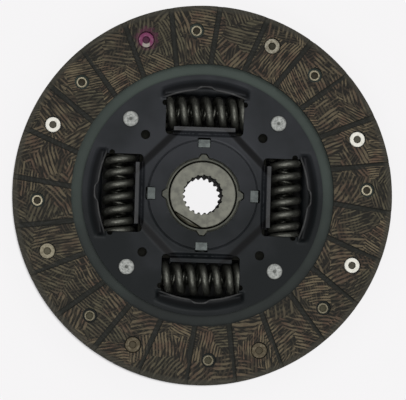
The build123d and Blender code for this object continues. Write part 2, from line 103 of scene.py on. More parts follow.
def turned(points, degrees):
    # x' = x cos - y sin and y' = x sin + y cos, heights kept
    c, s = math.cos(math.radians(degrees)), math.sin(math.radians(degrees))
    points = np.array(points, float)
    x, y = points[:, 0].copy(), points[:, 1].copy()
    points[:, 0], points[:, 1] = c * x - s * y, s * x + c * y
    return points


def joined(parts):
    # several closed shells in one list of points and faces
    verts, faces, start = [], [], 0
    for v, f in parts:
        verts.append(np.asarray(v, float))
        faces += [tuple(int(k) + start for k in face) for face in f]
        start += len(v)
    return np.vstack(verts), faces


def taper(lowOutline, low, highOutline, high):
    # a block between two outlines of equally many points, the lower one anticlockwise
    verts, faces = prism(lowOutline, low, high)
    verts[len(lowOutline):, :2] = highOutline
    return verts, faces


def prisms(outlines, low, high):
    return joined([prism(o, low, high) for o in outlines])


def latheRing(profile, steps, centre=(0, 0)):
    # a profile of (radius, height) points, anticlockwise, turned about an axis through centre;
    # the faces are reversed, so they point inwards
    profile = np.asarray(profile, float)
    angles = np.linspace(0, 2 * np.pi, steps, endpoint=False)
    verts, faces = ringFromSections(profile[:, :1] + 0 * angles, profile[:, 1:] + 0 * angles, angles)
    verts[:, 0] += centre[0]
    verts[:, 1] += centre[1]
    return verts, faces[:, ::-1]


def applyModifiers(piece):
    # the mesh as its modifiers leave it takes the old one's place
    bpy.context.view_layer.update()
    depsgraph = bpy.context.evaluated_depsgraph_get()
    mesh = bpy.data.meshes.new_from_object(piece.evaluated_get(depsgraph))
    old = piece.data
    piece.modifiers.clear()
    piece.data = mesh
    bpy.data.meshes.remove(old)


def combine(piece, shell, operation="DIFFERENCE"):
    # cuts a closed shell from the piece, or joins it on
    cutter = newPiece("cutter", *shell, smooth=False)
    boolean = piece.modifiers.new("combine", "BOOLEAN")
    boolean.operation = operation
    boolean.solver = "MANIFOLD"
    boolean.object = cutter
    applyModifiers(piece)
    mesh = cutter.data
    bpy.data.objects.remove(cutter)
    bpy.data.meshes.remove(mesh)


def soften(piece, width, segments, angle, smoothAngle):
    # rounds the edges that are sharper than angle
    bevel = piece.modifiers.new("edges", "BEVEL")
    bevel.width = width * mm
    bevel.segments = segments
    bevel.limit_method = "ANGLE"
    bevel.angle_limit = math.radians(angle)
    bevel.use_clamp_overlap = True
    applyModifiers(piece)
    shadeByAngle(piece, smoothAngle)


def shadeByAngle(piece, angle):
    mesh = piece.data
    mesh.polygons.foreach_set("use_smooth", [True] * len(mesh.polygons))
    mesh.set_sharp_from_angle(angle=math.radians(angle))


class Value:
    # a number on a node socket; arithmetic on it adds Math nodes
    def __init__(self, shader, socket):
        self.shader, self.socket = shader, socket

    def math(self, operation, *others):
        return self.shader.math(operation, self, *others)

    def __add__(self, other):
        return self.math("ADD", other)

    def __radd__(self, other):
        return self.shader.math("ADD", other, self)

    def __sub__(self, other):
        return self.math("SUBTRACT", other)

    def __rsub__(self, other):
        return self.shader.math("SUBTRACT", other, self)

    def __mul__(self, other):
        return self.math("MULTIPLY", other)

    def __rmul__(self, other):
        return self.shader.math("MULTIPLY", other, self)

    def __truediv__(self, other):
        return self.math("DIVIDE", other)

    def clamp(self, low, high):
        # 0 below low, 1 above high and a smooth step between them
        t = self.shader.node("ShaderNodeMapRange", {"interpolation_type": "SMOOTHSTEP"},
                             Value=self, **{"From Min": low, "From Max": high})
        return Value(self.shader, t.outputs["Result"])


class Shader:
    # one material, or the world; node() adds any node, math() a Math node
    def __init__(self, name, world=False):
        self.material = (bpy.data.worlds if world else bpy.data.materials).new(name)
        self.material.use_nodes = True
        self.tree = self.material.node_tree
        self.tree.nodes.clear()
        self.output = self.tree.nodes.new("ShaderNodeOutputWorld" if world else "ShaderNodeOutputMaterial")

    def node(self, kind, settings=None, inputs=None, **named):
        # settings come first, then each socket's value or link
        node = self.tree.nodes.new(kind)
        for key, value in (settings or {}).items():
            setattr(node, key, value)
        for key, value in {**(inputs or {}), **named}.items():
            self.feed(node.inputs[key], value)
        return node

    def feed(self, socket, value):
        if isinstance(value, Value):
            value = value.socket
        if isinstance(value, bpy.types.NodeSocket):
            self.tree.links.new(value, socket)
        elif isinstance(value, (tuple, list)) and socket.type == "RGBA" and len(value) == 3:
            socket.default_value = (*value, 1.0)
        else:
            socket.default_value = value

    def math(self, operation, *values):
        node = self.node("ShaderNodeMath", {"operation": operation}, dict(enumerate(values)))
        return Value(self, node.outputs[0])

    def vector(self, operation, *values, out=0):
        node = self.node("ShaderNodeVectorMath", {"operation": operation}, dict(enumerate(values)))
        return node.outputs[out]

    def place(self):
        # Object coordinates in millimetres
        coordinates = self.node("ShaderNodeTexCoord").outputs["Object"]
        return self.vector("MULTIPLY", coordinates, (1000.0, 1000.0, 1000.0))

    def split(self, vector):
        parts = self.node("ShaderNodeSeparateXYZ", Vector=vector)
        return [Value(self, parts.outputs[k]) for k in range(3)]

    def join(self, x, y, z):
        return self.node("ShaderNodeCombineXYZ", X=x, Y=y, Z=z).outputs[0]

    def noise(self, vector, scale, detail, roughness=0.5, colour=False):
        node = self.node("ShaderNodeTexNoise", {"noise_dimensions": "3D"}, Vector=vector, Scale=scale,
                         Detail=detail, Roughness=roughness)
        return node.outputs["Color"] if colour else Value(self, node.outputs[0])

    def mix(self, factor, first, second, blend="MIX"):
        # first where the factor is 0 and second where it is 1; for colours
        node = self.node("ShaderNodeMix", {"data_type": "RGBA", "blend_type": blend},
                         {0: factor, 6: first, 7: second})
        return node.outputs[2]

    def bump(self, height, strength, distance):
        inputs = {"Height": height, "Strength": strength, "Distance": distance * mm}
        return self.node("ShaderNodeBump", None, inputs).outputs[0]

    def show(self, surface):
        self.tree.links.new(surface, self.output.inputs["Surface"])
        return self.material

    def finish(self, **sockets):
        return self.show(self.node("ShaderNodeBsdfPrincipled", None, sockets).outputs[0])


def linear(red, green, blue):
    # a colour written as 0..255 screen values
    return tuple((c / 255 / 12.92) if c <= 10 else ((c / 255 + 0.055) / 1.055) ** 2.4
                 for c in (red, green, blue))


# sizes that several pieces share, in millimetres and degrees
disc = {
    "damperAngle": -1.65,
    "middle": 19.0,
    "pairAngle": 11.0,
    "rivetSpread": 18.0,
    "rivetCircle": 87.0,
    "rivets": 8,
    "windows": 4,
}


def turnOver(verts):
    # turns points over about the middle line of a rivet pair, as the rear facing lies
    a = math.radians(disc["pairAngle"])
    axis = np.array([math.cos(a), math.sin(a), 0.0])
    rel = np.asarray(verts, float) - [0, 0, disc["middle"]]
    along = rel @ axis
    return 2 * along[:, None] * axis - rel + [0, 0, disc["middle"]]


def windowTurns():
    return [disc["damperAngle"] + 90.0 * k for k in range(disc["windows"])]


# radii, heights and widths of both facings
facing = {
    "outer": 100.0, "inner": 69.3, "back": 19.75, "face": 23.10,
    "edge": 0.35,
    "grooves": 24, "grooveWidth": 3.0, "grooveFloor": 21.9, "grooveOffset": 7.5, "grooveAngle": 80.3,
    "seat": 21.05, "counterbore": 4.5, "tailHole": 3.9, "shankHole": 2.35,
    "bevel": 0.16, "overrun": 8,   # overrun: how far a groove's cutter passes both edges
}


def facingShape():
    # a flat ring whose face has a small bevel at its outer edge
    f = facing
    profile = [(f["inner"], f["back"]), (f["outer"], f["back"]), (f["outer"], f["face"] - f["edge"]),
               (f["outer"] - f["edge"], f["face"]), (f["inner"], f["face"])]
    return latheRing(profile, 288)


def facingGrooves():
    # straight bars, each at the same offset from the axis and turned one step on from the last
    f = facing
    near, far = f["inner"] - f["overrun"], f["outer"] + f["overrun"]
    low, high = f["grooveOffset"] - f["grooveWidth"] / 2, f["grooveOffset"] + f["grooveWidth"] / 2
    box = np.array([(near, low), (far, low), (far, high), (near, high)])
    step = 360 / f["grooves"]
    return prisms([turned(box, f["grooveAngle"] + step * k) for k in range(f["grooves"])],
                  f["grooveFloor"], f["face"] + 3)


def rivetPlaces(front=True):
    # centres of the front rivets, or of the rear ones as they stand in the front facing
    start = disc["pairAngle"] + (0.5 if front else -0.5) * disc["rivetSpread"]
    a = np.radians(start + 360 / disc["rivets"] * np.arange(disc["rivets"]))
    return np.column_stack([np.cos(a), np.sin(a)]) * disc["rivetCircle"]


def makeFacing(name, body, material, over):
    # the ring with its grooves, counterbores and holes; over turns it onto the other side
    f = facing
    shape = facingShape()
    piece = newPiece(name, shape[0], shape[1].tolist(), material)
    combine(piece, facingGrooves())
    counterbores = [circle(f["counterbore"], c, 40) for c in rivetPlaces()]
    combine(piece, prisms(counterbores, f["seat"], f["face"] + 4))
    through = [circle(f["shankHole"], c, 24) for c in rivetPlaces()]
    through += [circle(f["tailHole"], c, 40) for c in rivetPlaces(False)]
    combine(piece, prisms(through, f["back"] - 3, f["face"] + 5))
    if over:
        verts = np.empty(len(piece.data.vertices) * 3)
        piece.data.vertices.foreach_get("co", verts)
        piece.data.vertices.foreach_set("co", (turnOver(verts.reshape(-1, 3) / mm) * mm).ravel())
        piece.data.update()
    soften(piece, f["bevel"], 1, 50, 30)
    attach(piece, body)
    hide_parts(name[:-5])
    return piece


yarn = {
    "patch": 0.058,       # patches per millimetre
    "spacing": 1.2,       # between strands in the closest patches, in millimetres
    "curve": 0.012,       # bend of a strand over its patch
    "wander": 3.5,        # of the patches' edges, in millimetres
    "dark": linear(17, 16, 10), "matrix": linear(30, 27, 19),
    "light": linear(115, 102, 77), "red": linear(90, 63, 47), "olive": linear(73, 73, 52),
    "floor": linear(32, 34, 27), "rim": linear(56, 54, 45),
    "splash": linear(92, 34, 64), "splashPlace": (-29.8, 82.6),
}


def yarnLayer(s, where, patch, seed):
    # short straight strands lying side by side in patches, each patch with its own direction
    y = yarn
    flat = s.vector("MULTIPLY_ADD", where, (1.0, 1.0, 0.0), (seed * 37.0, seed * 19.0, 0.0))
    wobble = s.vector("SUBTRACT", s.noise(where, 0.25, 2.0, colour=True), (0.5, 0.5, 0.5))
    bent = s.vector("MULTIPLY_ADD", wobble, (y["wander"] * 2, y["wander"] * 2, 0.0), flat)
    cells = s.node("ShaderNodeTexVoronoi", {"voronoi_dimensions": "2D", "feature": "F1"},
                   Vector=bent, Scale=patch, Randomness=1.0)
    local = s.vector("SUBTRACT", flat, cells.outputs["Position"])
    first, second, third = s.split(cells.outputs["Color"])
    turn = s.node("ShaderNodeVectorRotate", {"rotation_type": "Z_AXIS"}, Vector=local,
                  Center=(0.0, 0.0, 0.0), Angle=first * 9.4248)
    along, across, _ = s.split(turn.outputs[0])
    across = across + along * along * (second - 0.5) * (2 * y["curve"])
    row = across * (third * 0.5 + 0.5) / y["spacing"]
    row = row + s.noise(s.join(along * 0.12, third * 30.0, seed), 1.0, 1.0) * 0.9
    number = row.math("FLOOR")
    inRow = row - number - 0.5
    present = s.noise(s.join(along * 0.13, number * 3.7, third * 40.0 + seed), 1.0, 1.0)
    frayed = s.noise(s.join(along * 0.5, row * 1.5, third * 17.0), 1.0, 2.0)
    strand = ((present - 0.43) * 2.6 + (frayed - 0.5) * 0.8 - inRow * inRow * 5.5 + 0.3).clamp(0.0, 0.6)
    return strand, second, third


def facingMaterial():
    # strands in two overlapping layers over a dark matrix; the grooves, bores and rim have none
    y = yarn
    s = Shader("wovenFacing")
    where = s.place()
    x, across, z = s.split(where)
    radius = (x * x + across * across).math("SQRT")
    upper, chance, tone = yarnLayer(s, where, y["patch"], 0.0)
    lower, _, _ = yarnLayer(s, where, y["patch"] * 1.3, 3.0)
    strands = upper.math("MAXIMUM", lower * 0.35)
    cloud = s.noise(where, 0.13, 2.0)
    speckle = s.noise(where, 0.9, 3.0)
    matrix = s.mix(speckle.clamp(0.35, 0.7), y["dark"], y["matrix"])
    fibre = s.mix(cloud.clamp(0.44, 0.62) * 0.75, y["light"], y["red"])
    fibre = s.mix(chance.clamp(0.4, 0.85) * 0.6, fibre, y["olive"])
    strength = strands * (0.45 + tone * 0.35 + speckle * 0.4)
    colour = s.mix(strength.math("MINIMUM", 1.0) * 0.9, matrix, fibre)
    depth = (z - disc["middle"]).math("ABSOLUTE")
    onFace = depth.clamp(facing["face"] - disc["middle"] - 0.7, facing["face"] - disc["middle"] - 0.25)
    colour = s.mix(1.0 - onFace, colour, s.mix(speckle, y["dark"], y["floor"]))
    colour = s.mix(radius.clamp(96.6, 98.4) * 0.8, colour, y["rim"])
    # paint that has run over from the marked rivet
    spot = s.vector("SUBTRACT", s.vector("MULTIPLY", where, (1.0, 1.0, 0.0)), (*y["splashPlace"], 0.0))
    away = Value(s, s.vector("LENGTH", spot, out=1))
    ragged = away + (s.noise(where, 0.5, 3.0) - 0.5) * 7.0
    colour = s.mix((1.0 - ragged.clamp(4.0, 7.0)) * z.clamp(20.5, 21.0) * 0.6, colour, y["splash"])
    fine = s.noise(where, 2.6, 4.0, 0.6)
    colour = s.mix(0.35, colour, s.mix(fine, (0.1, 0.1, 0.1), (0.9, 0.9, 0.9)), "OVERLAY")
    height = strands * onFace + fine * 0.25
    return s.finish(**{"Base Color": colour, "Roughness": 0.84 - strands * 0.12,
                       "Normal": s.bump(height, 0.6, 0.14)})


# radii and heights of a front rivet
rivet = {
    "seat": 21.05, "paddleBack": 19.05,
    "head": 4.1, "headRise": 0.8, "dimple": 1.85, "dimpleDepth": 1.1,
    "shank": 2.2, "tail": 2.8, "tailDrop": 0.7, "bore": 1.95, "boreDepth": 1.2, "steps": 40,
}
# the finish whose paint has worn off, where, and the metal under it
worn = {"finish": "rivetMarked", "place": (-29.8, 79.2), "metal": linear(168, 160, 152)}


def rivetProfile():
    # anticlockwise from the axis at the bottom; the tiny inner radius closes both ends
    r = rivet
    top, low = r["seat"] + r["headRise"], r["paddleBack"] - r["tailDrop"]
    return [
        (0.02, low + r["boreDepth"] - 0.5), (0.5, low + r["boreDepth"] - 0.3),
        (r["bore"] - 0.25, low + r["boreDepth"]), (r["bore"], low + 0.3), (r["bore"] + 0.06, low + 0.06),
        (r["bore"] + 0.2, low), (r["tail"] - 0.2, low), (r["tail"] - 0.04, low + 0.08),
        (r["tail"], low + 0.3), (r["tail"] - 0.1, r["paddleBack"]), (r["shank"], r["paddleBack"]),
        (r["shank"], r["seat"]), (r["head"] - 0.1, r["seat"]), (r["head"], r["seat"] + 0.25),
        (r["head"] - 0.05, top - 0.25), (r["head"] - 0.25, top - 0.03), (r["dimple"] + 0.6, top),
        (r["dimple"] + 0.2, top - 0.1), (r["dimple"], top - 0.45),
        (r["dimple"] - 0.2, top - r["dimpleDepth"]), (0.02, top - r["dimpleDepth"] - 0.05),
    ]


def makeRivets(name, body, materials, finishes, over):
    # finishes gives, for each rivet, the number of its material; heads are clean or not
    rings = [latheRing(rivetProfile(), rivet["steps"], c) for c in rivetPlaces()]
    perRivet = len(rings[0][1])
    verts, faces = joined(rings)
    if over:
        verts = turnOver(verts)
    piece = newPiece(name, verts, faces)
    for material in materials:
        piece.data.materials.append(material)
    piece.data.polygons.foreach_set("material_index", np.repeat(finishes, perRivet))
    shadeByAngle(piece, 45)
    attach(piece, body)
    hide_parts(name[:-4])
    return piece


def axisDistance(x, y, ringRadius, step, starts):
    # distance from the nearest axis of a ring of them, one every step degrees from each start
    radius = (x * x + y * y).math("SQRT")
    angle = y.math("ARCTAN2", x) * (180 / math.pi)
    nearest = None
    for start in starts:
        turns = (angle - start + 360.0) / step
        off = (turns - (turns + 0.5).math("FLOOR")) * math.radians(step) * ringRadius
        radial = radius - ringRadius
        away = (off * off + radial * radial).math("SQRT")
        nearest = nearest.math("MINIMUM", away) if nearest else away
    return nearest


def rivetMaterial(name, colour, dirt, dirtAmount, roughness, metallic, hollowShade):
    s = Shader(name)
    where = s.place()
    x, y, _ = s.split(where)
    blotch = s.noise(where, 0.55, 3.0, 0.6)
    fine = s.noise(where, 3.5, 3.0, 0.6)
    mask = (blotch * 0.7 + fine * 0.3).clamp(0.52 - dirtAmount * 0.3, 0.66 - dirtAmount * 0.2)
    surface = s.mix(mask * min(1.0, dirtAmount + 0.35), colour, dirt)
    # the head's dimple and the tail's bore are darkened: painted shade in the hollow
    spread = disc["rivetSpread"] / 2
    away = axisDistance(x, y, disc["rivetCircle"], 360 / disc["rivets"],
                        (disc["pairAngle"] + spread, disc["pairAngle"] - spread))
    inside = 1.0 - away.clamp(rivet["dimple"] - 0.05, rivet["dimple"] + 0.15)
    if name == worn["finish"]:
        # the paint is gone on the side next to this place
        left, up = x - worn["place"][0], y - worn["place"][1]
        apart = (left * left + up * up).math("SQRT")
        bare = 1.0 - (apart + (blotch - 0.5) * 1.5).clamp(1.2, 2.5)
        surface = s.mix(bare, surface, worn["metal"])
    surface = s.mix(inside * 0.97, surface, hollowShade)
    return s.finish(**{"Base Color": surface, "Roughness": roughness + mask * 0.15, "Metallic": metallic,
                       "Specular IOR Level": 0.2, "Normal": s.bump(fine + blotch, 0.25, 0.06)})


# both plates: distances from the axis, heights over the flat rim and half widths
plate = {
    "outer": 63.5, "sheet": 2.0, "frontFace": 21.35, "rearFace": 8.45,
    "octagonFoot": (32.1, 36.0), "octagonTop": (30.8, 31.8), "octagonRise": 1.6,
    "boss": 28.5, "bossRise": 0.5, "bossGroove": 0.35,
    "lipStart": 32.2, "lipEnd": 33.6, "lipRise": 1.85, "lipHalf": 16.1,
    "hoodInnerFoot": 50.4, "hoodInner": 53.6, "hoodOuter": 56.7, "hoodFoot": 61.1, "hoodRise": 2.6,
    "hoodHalf": 20.9, "hoodEnd": 2.3,
    "windowInner": 35.7, "windowOuter": 55.1, "windowHalf": 20.6,
    "bumpTop": 2.4, "bumpFoot": 5.4, "bumpRise": 1.5,
    "rearWindowOuter": 52.6, "ear": 1.5, "earPlace": (48.3, 21.1), "notch": 2.2, "notchLength": 1.9,
    "edgeSlope": 0.7,
    "pilotCircle": 43.8, "pilot": 2.5, "frontBore": 19.85, "rearBore": 18.0,
    "lugRadius": 27.1, "lugLength": 4.0, "lugWidth": 6.1, "lugClear": 0.4, "lugOut": 0.9,
    "bevel": 0.22,
}


def plateHeight(x, y, centre):
    # height of the sheet's outer surface over its flat rim: four hoods and lips, and on the front
    # plate the raised octagon with its round boss; x runs through the middle of a window
    p = plate
    height = np.zeros_like(x)
    for k in range(4):
        c, s = math.cos(k * math.pi / 2), math.sin(k * math.pi / 2)
        out, across = c * x + s * y, np.abs(-s * x + c * y)
        radius = np.sqrt(out * out + across * across)
        lip = smoothClip((out - p["lipStart"]) / (p["lipEnd"] - p["lipStart"]), 0.16)
        lip = lip * (out < 45) * (1 - smoothClip((across - p["lipHalf"] - 0.6) / 2.2, 0.2))
        height = np.maximum(height, lip * p["lipRise"])
        inside = smoothClip((out - p["hoodInnerFoot"]) / (p["hoodInner"] - p["hoodInnerFoot"]), 0.18)
        outside = 1 - smoothClip((radius - p["hoodOuter"]) / (p["hoodFoot"] - p["hoodOuter"]), 0.16)
        end = 1 - smoothClip((across - p["hoodHalf"]) / p["hoodEnd"], 0.35)
        hood = np.minimum(np.minimum(inside, outside), end) * (out > 0)
        height = np.maximum(height, hood * p["hoodRise"])
    if centre:
        square = np.maximum(np.abs(x), np.abs(y))
        corner = (np.abs(x) + np.abs(y)) / math.sqrt(2)
        rise = []
        for reach, foot, top in ((square, p["octagonFoot"][0], p["octagonTop"][0]),
                                 (corner, p["octagonFoot"][1], p["octagonTop"][1])):
            rise.append(1 - smoothClip((reach - top) / (foot - top), 0.2))
        height += np.minimum(*rise) * p["octagonRise"]
        radius = np.sqrt(x * x + y * y)
        height += (1 - smoothClip((radius - p["boss"] + 0.15) / 0.15, 0.1)) * p["bossRise"]
        height -= np.clip(1.6 - np.abs(radius - p["boss"] - 0.25) / 0.25, 0, 1) * p["bossGroove"]
    return height


def windowOutline(grow=0.0):
    # straight inner side and ends, an outer arc about the disc's axis and a bump in its middle;
    # grow moves the outer side out
    p = plate
    half = p["windowHalf"]
    turn = np.linspace(-1, 1, 61) * math.asin(half / p["windowOuter"])
    reach = p["windowOuter"] + grow + p["bumpRise"] * (1 - smoothClip(
        (np.abs(turn) * p["windowOuter"] - p["bumpTop"]) / (p["bumpFoot"] - p["bumpTop"]), 0.25))
    wide = 1 + grow * 0.5 / half
    arc = np.column_stack([reach * np.cos(turn), reach * np.sin(turn) * wide])
    return np.vstack([[(p["windowInner"], -half)], arc, [(p["windowInner"], half)]])


def rearWindowOutline():
    # a plain rectangle
    p = plate
    return np.array([(p["windowInner"], -p["windowHalf"]), (p["rearWindowOuter"], -p["windowHalf"]),
                     (p["rearWindowOuter"], p["windowHalf"]), (p["windowInner"], p["windowHalf"])])


def makePlate(name, material, front):
    # height over radius and angle, one sheet thick, then cut; the faces point inwards
    p = plate
    inner = p["frontBore"] if front else p["rearBore"]
    stations = np.concatenate([
        [inner, 22.0, 25.0, 27.6], [28.2, 28.35, 28.5, 28.65, 28.85, 29.0, 29.2] if front else [28.5],
        np.linspace(30.6, 37.6, 16), [40.0, 43.0, 46.0, 49.0], np.linspace(50.0, 62.4, 26),
        [62.9, p["outer"]],
    ])
    angles = np.linspace(0, 2 * np.pi, 480, endpoint=False)
    radii = stations[:, None] + 0 * angles
    height = plateHeight(radii * np.cos(angles), radii * np.sin(angles), front)
    rows = np.vstack([radii, radii[::-1]])
    heights = np.vstack([height, height[::-1] - p["sheet"]])
    verts, faces = ringFromSections(rows, heights, angles)
    base = p["frontFace"] if front else p["rearFace"]
    if not front:
        verts = verts * [1, -1, -1]
    verts[:, 2] += base
    verts = turned(verts, disc["damperAngle"])
    piece = newPiece(name, verts, faces.tolist(), material)
    low, high = base - 12, base + 12
    cutWindows = [turned(windowOutline() if front else rearWindowOutline(), t) for t in windowTurns()]
    holes = [turned(circle(p["pilot"], (p["pilotCircle"], 0), 32), t + 45) for t in windowTurns()]
    if front:
        near = p["lugRadius"] - p["lugLength"] / 2 - p["lugClear"] / 2
        far = p["lugRadius"] + p["lugLength"] / 2 + p["lugClear"] / 2 + p["lugOut"]
        half = p["lugWidth"] / 2 + p["lugClear"]
        hole = roundedBox(near, far, half, 0.7)
        holes += [turned(hole, t) for t in windowTurns()]
    combine(piece, prisms(cutWindows + holes, low, high))
    ears, notches = [], []
    for t in windowTurns():
        for side in (-1, 1):
            out, across = p["earPlace"]
            ears.append(turned(circle(p["ear"], (out, side * across), 28), t))
            # a slot with a round inner end, a little wider than the spring's last turn
            slot = roundedBox(p["windowInner"] - p["notch"] - p["notchLength"], p["windowInner"] + 3.0,
                              p["notch"], p["notch"] - 0.05, 10)
            slot[:, 1] += side * (p["windowHalf"] - p["notch"])
            notches.append(turned(slot, t))
    combine(piece, prisms(notches, low, high))
    if front:
        combine(piece, prisms(ears, low, high))
        # the hood's edge slopes down into the window
        top = base + p["hoodRise"]
        combine(piece, joined([taper(turned(windowOutline(), t), top - p["edgeSlope"] * 0.8,
                                     turned(windowOutline(p["edgeSlope"] + 0.35), t), top + 0.3)
                               for t in windowTurns()]))
        combine(piece, prisms([turned(bushOutline(bush["seat"]), disc["damperAngle"])], low, high))
    soften(piece, p["bevel"], 2, 48, 50)
    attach(piece, "plates")
    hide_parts("front_plate" if front else "rear_plate")
    return piece


def roundedBox(near, far, half, radius, steps=6):
    # a rectangle from near to far, half its width to each side, with round corners
    points = []
    for cx, cy, start in ((far - radius, half - radius, 0), (near + radius, half - radius, 90),
                          (near + radius, radius - half, 180), (far - radius, radius - half, 270)):
        a = np.radians(np.linspace(start, start + 90, steps))
        points += list(zip(cx + radius * np.cos(a), cy + radius * np.sin(a)))
    return np.array(points)


def plateMaterial():
    s = Shader("blackenedPlate")
    where = s.place()
    x, y, z = s.split(where)
    cloud = s.noise(where, 0.045, 3.0, 0.55)
    grain = s.noise(where, 1.8, 4.0, 0.6)
    outer = (x * x + y * y).math("SQRT")
    # a cloudy tone of the steel's own, lighter towards +Y, which is painted light, and darker towards the rim
    shade = (cloud - 0.5) * 1.2 + (y.clamp(-28.0, 28.0) - 0.5) * 0.62 + 0.6
    shade = shade - outer.clamp(36.0, 56.0) * 0.3
    colour = s.mix(shade.clamp(0.0, 1.0), linear(13, 18, 20), linear(43, 45, 49))
    # the hoods and the octagon's corner slopes are painted near black: painted shade
    hoods = z.clamp(22.0, 22.7) * outer.clamp(48.0, 49.0)
    angle = y.math("ARCTAN2", x) - math.radians(disc["damperAngle"])
    local = angle - (angle / (math.pi / 2) + 0.5).math("FLOOR") * (math.pi / 2)
    corner = outer * (local.math("ABSOLUTE") - math.pi / 4).math("COSINE")
    slopes = corner.clamp(31.4, 32.6) * (1.0 - corner.clamp(35.0, 36.4)) * z.clamp(20.0, 21.0)
    slopes = slopes * (1.0 - outer.clamp(36.5, 38.5))
    colour = s.mix((hoods * 0.6).math("MAXIMUM", slopes * 0.95), colour, linear(8, 8, 10))
    # a thin line along the hoods' edges and the lips is painted lighter: a painted highlight
    across = local.math("ABSOLUTE") * plate["windowOuter"]
    bump = 1.0 - across.clamp(plate["bumpTop"], plate["bumpFoot"])
    reach = plate["windowOuter"] + plate["bumpRise"] * bump
    edge = (1.0 - (outer - reach).clamp(0.5, 0.95)) * z.clamp(21.9, 22.2) * outer.clamp(48.0, 49.0)
    lip = z.clamp(22.95, 23.15) * outer.clamp(30.5, 31.5) * (1.0 - outer.clamp(44.0, 45.0))
    # the lip towards -Y gets almost none of it: painted light, which falls on the other lips
    lip = lip * (y.clamp(-36.0, -10.0) * 0.32 + 0.03)
    edgeHighlight = (edge * (cloud * 0.5 + 0.4)).math("MAXIMUM", lip) * (0.7 + grain * 0.6)
    colour = s.mix(edgeHighlight, colour, linear(92, 92, 92))
    colour = s.mix(0.25, colour, s.mix(grain, (0.25, 0.25, 0.25), (0.75, 0.75, 0.75)), "OVERLAY")
    return s.finish(**{"Base Color": colour, "Roughness": 0.34 + grain * 0.12, "Metallic": 0.3,
                       "Specular IOR Level": 0.25, "Normal": s.bump(grain, 0.18, 0.05)})


def cushionMaterial():
    s = Shader("cushionSteel")
    where = s.place()
    x, y, _ = s.split(where)
    radius = (x * x + y * y).math("SQRT")
    # rolled and hardened strip: faint rings and cloudy tempering colours
    rings = s.noise(s.join(radius * 1.2, 0.0, 0.0), 1.0, 2.0)
    cloud = s.noise(where, 0.035, 3.0)
    grain = s.noise(where, 1.4, 4.0, 0.65)
    # lighter towards +Y: painted light
    shade = (cloud - 0.5) * 0.8 + y * 0.006 + 0.5
    colour = s.mix(shade.clamp(0.0, 1.0), linear(28, 32, 31), linear(60, 69, 64))
    colour = s.mix(0.3, colour, s.mix(grain, (0.3, 0.3, 0.3), (0.7, 0.7, 0.7)), "OVERLAY")
    return s.finish(**{"Base Color": colour, "Roughness": 0.34 + grain * 0.18 + rings * 0.06, "Metallic": 0.6,
                       "Normal": s.bump(grain + rings * 0.5, 0.2, 0.04)})


def makeCushion(material):
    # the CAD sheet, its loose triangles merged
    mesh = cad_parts["cushion_disc"].data.copy()
    work = bmesh.new()
    work.from_mesh(mesh)
    bmesh.ops.remove_doubles(work, verts=work.verts, dist=0.01 * mm)
    work.to_mesh(mesh)
    work.free()
    mesh.materials.clear()
    mesh.materials.append(material)
    piece = bpy.data.objects.new("cushion_disc_sheet", mesh)
    bpy.context.scene.collection.objects.link(piece)
    mesh.polygons.foreach_set("use_smooth", [False] * len(mesh.polygons))
    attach(piece, "plates")
    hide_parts("cushion_disc")
    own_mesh(piece)


coils = {
    "outer": {"diameter": 18.0, "wire": 4.0, "turns": 5, "left": False, "around": 18, "perTurn": 36},
    "inner": {"diameter": 8.6, "wire": 1.9, "turns": 8, "left": True, "around": 12, "perTurn": 24},
    "length": 41.0, "circle": 43.8, "height": 14.45, "opening": 0.15, "ground": 0.7,
    "shortest": 0.82,     # share of the length left at the plates' limit
    "closing": 0.75, "rounding": 0.12,   # turns before the pitch opens, and over which it changes
}


def coilSurface(kind):
    # a round wire carried along a helix about Y whose pitch closes at both ends, ground flat there;
    # the faces are reversed, so they point inwards
    k = coils[kind]
    radius, wire, turns = (k["diameter"] - k["wire"]) / 2, k["wire"], k["turns"]
    closed = wire * (1 + coils["opening"])
    reach = coils["length"] / 2 + (coils["ground"] - 0.5) * wire
    pitch = (2 * reach - 2 * closed) / turns
    hand = 1 if k["left"] else -1
    t = np.linspace(0, turns + 2, int((turns + 2) * k["perTurn"]) + 1)
    opened = turns * smoothClip((t - coils["closing"]) / turns, coils["rounding"] / turns)
    along = hand * (-reach + closed * (t - opened) + pitch * opened)
    angle = 2 * np.pi * t - np.pi
    centre = np.stack([radius * np.cos(angle), along, radius * np.sin(angle)], -1)
    tangent = np.gradient(centre, axis=0)
    tangent /= np.linalg.norm(tangent, axis=1)[:, None]
    outward = np.stack([np.cos(angle), 0 * angle, np.sin(angle)], -1)
    outward -= np.sum(outward * tangent, 1)[:, None] * tangent
    outward /= np.linalg.norm(outward, axis=1)[:, None]
    side = np.cross(tangent, outward)
    around = np.linspace(0, 2 * np.pi, k["around"], endpoint=False)
    points = centre[:, None] + wire / 2 * (np.cos(around)[None, :, None] * outward[:, None]
                                           + np.sin(around)[None, :, None] * side[:, None])
    rows, columns = points.shape[:2]
    half = coils["length"] / 2
    points[..., 1] = np.clip(points[..., 1], -half, half)
    faces = [tuple(face) for face in gridFaces(rows, columns, False, True)[:, ::-1].tolist()]
    faces.append(tuple(range(columns)))
    faces.append(tuple(range(rows * columns - 1, (rows - 1) * columns - 1, -1)))
    return points.reshape(-1, 3), faces


def makeSprings(material):
    shapes = {kind: coilSurface(kind) for kind in ("outer", "inner")}
    for number, turn in enumerate(windowTurns(), 1):
        flip = 180.0 if number > 2 else 0.0
        middle = turned([(coils["circle"], 0, coils["height"])], turn)[0]
        along = turned([(0, 1, 0)], turn)[0]
        for kind, (verts, faces) in shapes.items():
            placed = turned(verts, flip) + [coils["circle"], 0, coils["height"]]
            name = f"{kind}_spring_{number}"
            piece = newPiece(name + "_coil", turned(placed, turn), faces, material)
            shadeByAngle(piece, 50)
            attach(piece, "springs")
            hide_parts(name)
            tuple(middle * mm)
            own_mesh(piece)


